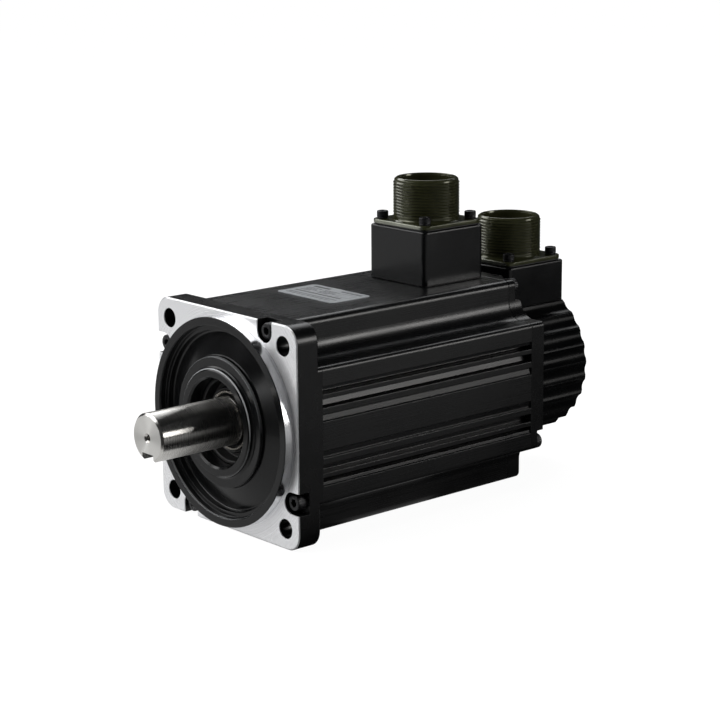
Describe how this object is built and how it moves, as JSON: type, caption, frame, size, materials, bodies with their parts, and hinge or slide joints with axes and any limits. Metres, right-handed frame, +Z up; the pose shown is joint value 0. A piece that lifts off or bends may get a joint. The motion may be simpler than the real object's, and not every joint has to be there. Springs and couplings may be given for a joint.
{
  "type": "servo motor",
  "caption": "Flange-mounted servo motor with a finned housing, keyed shaft, fluted encoder cover and two upright threaded connectors.",
  "frame": {"origin": "centre of the flange's mounting face, on the shaft axis", "axes": "-Y out along the shaft, +Y back along the housing, +Z up towards the connectors, +X to the right seen from the shaft end"},
  "size_m": [0.1, 0.2398, 0.1475],
  "materials": {
    "black_paint": "satin",
    "black_extrusion": "satin",
    "shaft_steel": "ground",
    "steel_internal": "ground",
    "black_screw": "black oxide",
    "olive_shell": "olive drab plating, satin",
    "black_plastic": "moulded",
    "contact_metal": "plated",
    "seal_rubber": "moulded",
    "gasket_rubber": "moulded",
    "spring_steel": "bright",
    "lamination_steel": "stacked sheet",
    "copper": "enamelled wire",
    "magnet": "plated",
    "cage_steel": "pressed",
    "glass_disc": "clear",
    "board_green": "lacquered",
    "wire_jacket": "extruded",
    "plate_silver": "satin foil",
    "alu_machined": "machined"
  },
  "bodies": {
    "stator": {"front_flange": "black_paint", "flange_screws": "black_screw", "flange_screw_washers": "black_screw", "stator_housing": "black_extrusion", "rear_bracket": "black_paint", "rear_bracket_screws": "black_screw", "rear_screw_washers": "black_screw", "stator_core": "lamination_steel", "stator_windings": "copper", "power_leads": "wire_jacket", "front_bearing_outer_ring": "steel_internal", "rear_bearing_outer_ring": "steel_internal", "rear_wave_spring": "spring_steel", "oil_seal": "seal_rubber", "seal_garter_spring": "spring_steel", "encoder_cover": "black_paint", "encoder_cover_gasket": "gasket_rubber", "encoder_cover_screws": "black_screw", "encoder_base": "alu_machined", "encoder_standoffs": "contact_metal", "encoder_board_screws": "steel_internal", "encoder_circuit_board": "board_green", "encoder_read_head": "black_plastic", "encoder_light_source": "black_plastic", "encoder_board_chips": "black_plastic", "encoder_leads": "wire_jacket", "power_connector_gasket": "gasket_rubber", "power_connector_shell": "olive_shell", "power_connector_insert": "black_plastic", "power_connector_pins": "contact_metal", "power_connector_screws": "black_screw", "power_connector_washers": "black_screw", "encoder_connector_gasket": "gasket_rubber", "encoder_connector_shell": "olive_shell", "encoder_connector_insert": "black_plastic", "encoder_connector_pins": "contact_metal", "encoder_connector_screws": "black_screw", "encoder_connector_washers": "black_screw", "power_connector_box": "black_paint", "power_box_gasket": "gasket_rubber", "encoder_connector_box": "black_paint", "nameplate": "plate_silver"},
    "rotor": {"shaft": "shaft_steel", "rotor_core": "lamination_steel", "rotor_magnets": "magnet", "front_bearing_inner_ring": "steel_internal", "rear_bearing_inner_ring": "steel_internal", "encoder_hub": "alu_machined", "encoder_disc": "glass_disc"},
    "front_ball_set": {"front_bearing_balls": "spring_steel", "front_bearing_cage": "cage_steel"},
    "rear_ball_set": {"rear_bearing_balls": "spring_steel", "rear_bearing_cage": "cage_steel"}
  },
  "joints": [
    {"name": "rotor_spin", "type": "hinge", "parent": "stator", "child": "rotor", "pos_m": [0, 0, 0], "axis": [0, -1, 0], "continuous": true},
    {"name": "front_ball_set_spin", "type": "hinge", "parent": "stator", "child": "front_ball_set", "pos_m": [0, 0.017, 0], "axis": [0, -1, 0], "continuous": true},
    {"name": "rear_ball_set_spin", "type": "hinge", "parent": "stator", "child": "rear_ball_set", "pos_m": [0, 0.1425, 0], "axis": [0, -1, 0], "continuous": true}
  ],
  "couplings": [
    {"joint": "front_ball_set_spin", "follows": "rotor_spin", "ratio": 0.39688},
    {"joint": "rear_ball_set_spin", "follows": "rotor_spin", "ratio": 0.38149}
  ]
}
